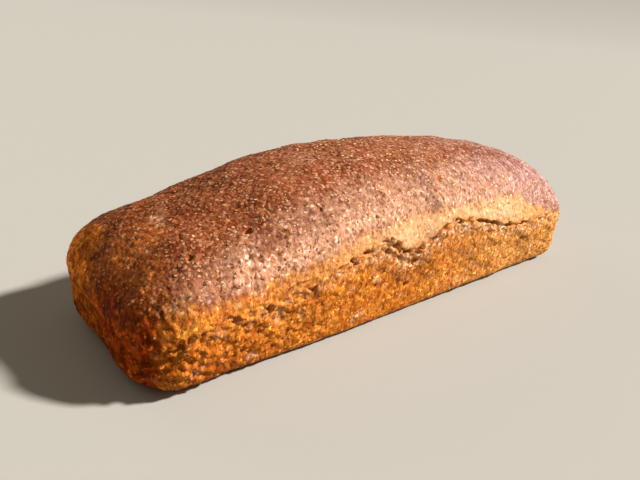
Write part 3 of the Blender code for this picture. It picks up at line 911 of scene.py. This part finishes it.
def flake_places(draw, number, shares):
    """Random places on the crust's faces, drawn by area times the share of the zone they lie in.

    Returns the faces' numbers, the places and the normals.
    """
    a, b, c, d = (crust[quads[:, k]] for k in range(4))
    normal = np.cross(c - a, d - b)
    area = np.linalg.norm(normal, axis=1) / 2
    zone = np.where(on_faces(browned) > 0.5, shares[0], shares[2])
    zone = np.where(on_faces(skin) > 0.35, shares[1], zone)
    zone = zone * (crust[quads, 2].min(axis=1) > LOWEST_FLAKE) * (hollow[quads].min(axis=1) > DEEPEST_FLAKE)
    zone *= (1 - gap_share[quads].max(axis=1)) * (1 - 0.85 * on_faces(painted_end_shade * (1 - 0.55 * browned)))
    zone *= 1 - 0.5 * on_faces(far * browned)
    weight = area * zone
    chosen = draw.choice(len(quads), number, p=weight / weight.sum())
    u, v = draw.uniform(size=(2, number, 1))
    upper = a[chosen] * (1 - u) + b[chosen] * u
    lower = d[chosen] * (1 - u) + c[chosen] * u
    return chosen, upper * (1 - v) + lower * v, unit(normal[chosen])


def flakes(number, seed, length, thickness, shares):
    """All flakes of one kind: one flake copied, scaled, turned into each place's tangent plane and tilted.

    Returns points and triangles, and for each point a tone, part chance and part the painted sheen of the
    crust there, and whether the flake lies on the wall.
    """
    draw = np.random.RandomState(seed)
    chosen, place, normal = flake_places(draw, number, shares)
    normal = unit(normal + draw.normal(0, TILT, normal.shape))
    along = unit(np.cross(normal, draw.normal(size=normal.shape)))
    across = np.cross(normal, along)
    long = length * draw.uniform(*LONG, (number, 1, 1))
    wide = long * draw.uniform(*WIDE, (number, 1, 1))
    thick = long * thickness * draw.uniform(*THICK, (number, 1, 1))
    flake, triangles = one_flake()
    corner = flake[None] * draw.uniform(*UNEVEN, (number, 8, 1))
    points = place[:, None] + RAISED * thick * normal[:, None]
    points = points + corner[:, :, :1] * long * along[:, None]
    points = points + corner[:, :, 1:2] * wide * across[:, None] + corner[:, :, 2:] * thick * normal[:, None]
    faces = triangles[None] + 8 * np.arange(number)[:, None, None]
    paler = 0.72 + 0.28 * soft_step(place[:, 0], -0.07, -0.02)
    tone = 0.75 * paler * draw.uniform(size=number) ** 3 + 0.25 * on_faces(painted_sheen)[chosen]
    on_wall = 1 - on_faces(browned)[chosen]
    return points.reshape(-1, 3), faces.reshape(-1, 3), np.repeat(tone, 8), np.repeat(on_wall, 8)


flake_pieces = {}
for name, *kind in FLAKES:
    points, triangles, tone, on_wall = flakes(*kind)
    flake_pieces[name] = mesh_piece(name, points, triangles.tolist(), smooth=False)
    paint(flake_pieces[name], "tone", tone)
    paint(flake_pieces[name], "on_wall", on_wall)
    print(f"{name}: {kind[0]} flakes, {len(triangles)} faces")

# %% Bran's finish
# Darkest and lightest on the crown, darkest and lightest on the wall
PALE_BRAN = ((0.31, 0.103, 0.034), (0.84, 0.57, 0.36), (0.5, 0.18, 0.03), (0.79, 0.44, 0.2))
TOASTED_BRAN = ((0.12, 0.03, 0.006), (0.62, 0.35, 0.26), (0.38, 0.1, 0.006), (0.7, 0.27, 0.05))
BRAN_ROUGHNESS = 0.8


def bran(name, tones):
    """Two tones mixed by each flake's own number, so that neighbouring flakes differ, for each zone."""
    material, tree, shader = new_finish(name, CRUST_SPECULAR, BRAN_ROUGHNESS)
    tone = stored(tree, "tone")
    crown = blend(tree, tone, *tones[:2])
    wall = blend(tree, tone, *tones[2:])
    colour = blend(tree, stored(tree, "on_wall"), crown, wall)
    tree.links.new(colour, shader.inputs["Base Color"])
    return material


flake_pieces["bran_flakes_pale"].data.materials.append(bran("pale_bran", PALE_BRAN))
flake_pieces["bran_flakes_toasted"].data.materials.append(bran("toasted_bran", TOASTED_BRAN))

# %% [markdown]
# ## Floor, light and camera
# A sheet of pale paper swept up behind the loaf and soft studio light show the crust without a story. The
# key light stands low at the front right, as the light on the real loaf does, because only raking light
# brings out the relief of crust. The camera looks down at the near corner with a wide lens, and leans.

# %% Floor and light
CAMERA_PLACE = (-0.20857, -0.20601, 0.14498)
CAMERA_YAW, CAMERA_PITCH, CAMERA_ROLL = 0.7263, 0.40587, 0.09376
FLOOR_DROP = 0.00005
FLOOR_SIDE, SWEEP_START, SWEEP_RADIUS = 6.0, 2.0, 1.5
FLOOR_COLOUR = (0.38, 0.385, 0.38, 1.0)
FLOOR_ROUGHNESS, FLOOR_SPECULAR = 0.9, 0.1
FILL_COLOUR, FILL_STRENGTH = (1.0, 0.84, 0.64, 1.0), 0.23
# Name, direction the light comes from, strength, angle it fills in degrees, colour
SUNS = (
    ("key", (0.668, -0.405, 0.625), 7.5, 6.0, (1.0, 0.92, 0.81)),
    ("back", (-0.14, 0.96, 0.24), 0.9, 50.0, (1.0, 0.86, 0.62)),
)


def lay_floor():
    """Paper that lies flat under the loaf, and sweeps up on a quarter circle along the line of sight."""
    turn = np.linspace(0, math.pi / 2, 25)
    away = np.concatenate([[-FLOOR_SIDE], SWEEP_START + SWEEP_RADIUS * np.sin(turn)])
    height = np.concatenate([[0], SWEEP_RADIUS * (1 - np.cos(turn))]) - FLOOR_DROP
    sight = np.array((math.sin(CAMERA_YAW), math.cos(CAMERA_YAW)))
    aside = np.array((sight[1], -sight[0])) * FLOOR_SIDE
    left, right = away[:, None] * sight - aside, away[:, None] * sight + aside
    points = np.concatenate([np.column_stack([left, height]), np.column_stack([right, height])])
    i = np.arange(len(away) - 1)
    faces = np.stack([i, i + len(away), i + len(away) + 1, i + 1], axis=1)
    mesh = bpy.data.meshes.new("floor")
    mesh.from_pydata(points.tolist(), [], faces.tolist())
    mesh.shade_smooth()
    material, _, shader = new_finish("plain_floor", FLOOR_SPECULAR, FLOOR_ROUGHNESS)
    shader.inputs["Base Color"].default_value = FLOOR_COLOUR
    mesh.materials.append(material)
    floor = in_scene("floor", mesh)


def hang_sun(name, direction, strength, softness, colour):
    """A distant lamp whose light comes from a direction."""
    lamp = bpy.data.lights.new(name, "SUN")
    lamp.energy = strength
    lamp.angle = math.radians(softness)
    lamp.color = colour
    sun = in_scene(name, lamp)
    sun.rotation_mode = "QUATERNION"
    sun.rotation_quaternion = Matrix(turned_to(unit(np.array(direction)))).to_quaternion()


def fill_room():
    """Even light from all around."""
    world = bpy.data.worlds.new("studio")
    world.use_nodes = True
    background = world.node_tree.nodes["Background"]
    background.inputs["Color"].default_value = FILL_COLOUR
    background.inputs["Strength"].default_value = FILL_STRENGTH
    bpy.context.scene.world = world


def turned_to(back):
    """Rotation whose +Z points along back: the cross product with the upright gives its +X."""
    side = unit(np.cross((0.0, 0.0, 1.0), back))
    return np.stack([side, np.cross(back, side), back], axis=1)


lay_floor()
for sun in SUNS:
    hang_sun(*sun)
fill_room()

# %% Camera
FOCAL_PIXELS, PICTURE_WIDTH = 600.0, 640
SENSOR_WIDTH, NEAREST = 36.0, 0.01


def place_camera():
    """Pinhole at the measured place: it looks along the yaw and pitch, then turns by the roll."""
    ahead = np.array((math.sin(CAMERA_YAW) * math.cos(CAMERA_PITCH),
                      math.cos(CAMERA_YAW) * math.cos(CAMERA_PITCH), -math.sin(CAMERA_PITCH)))
    level = turned_to(-ahead)
    right = level[:, 0] * math.cos(CAMERA_ROLL) + level[:, 1] * math.sin(CAMERA_ROLL)
    up = level[:, 1] * math.cos(CAMERA_ROLL) - level[:, 0] * math.sin(CAMERA_ROLL)
    data = bpy.data.cameras.new("camera")
    data.sensor_width = SENSOR_WIDTH
    data.lens = data.sensor_width * FOCAL_PIXELS / PICTURE_WIDTH
    data.clip_start = NEAREST
    camera = in_scene("camera", data)
    turned = Matrix(np.stack([right, up, -ahead], axis=1)).to_4x4()
    camera.matrix_world = Matrix.Translation(CAMERA_PLACE) @ turned
    bpy.context.scene.camera = camera


place_camera()
bpy.context.scene.view_settings.view_transform = "Standard"

# %% Done
bpy.context.view_layer.update()
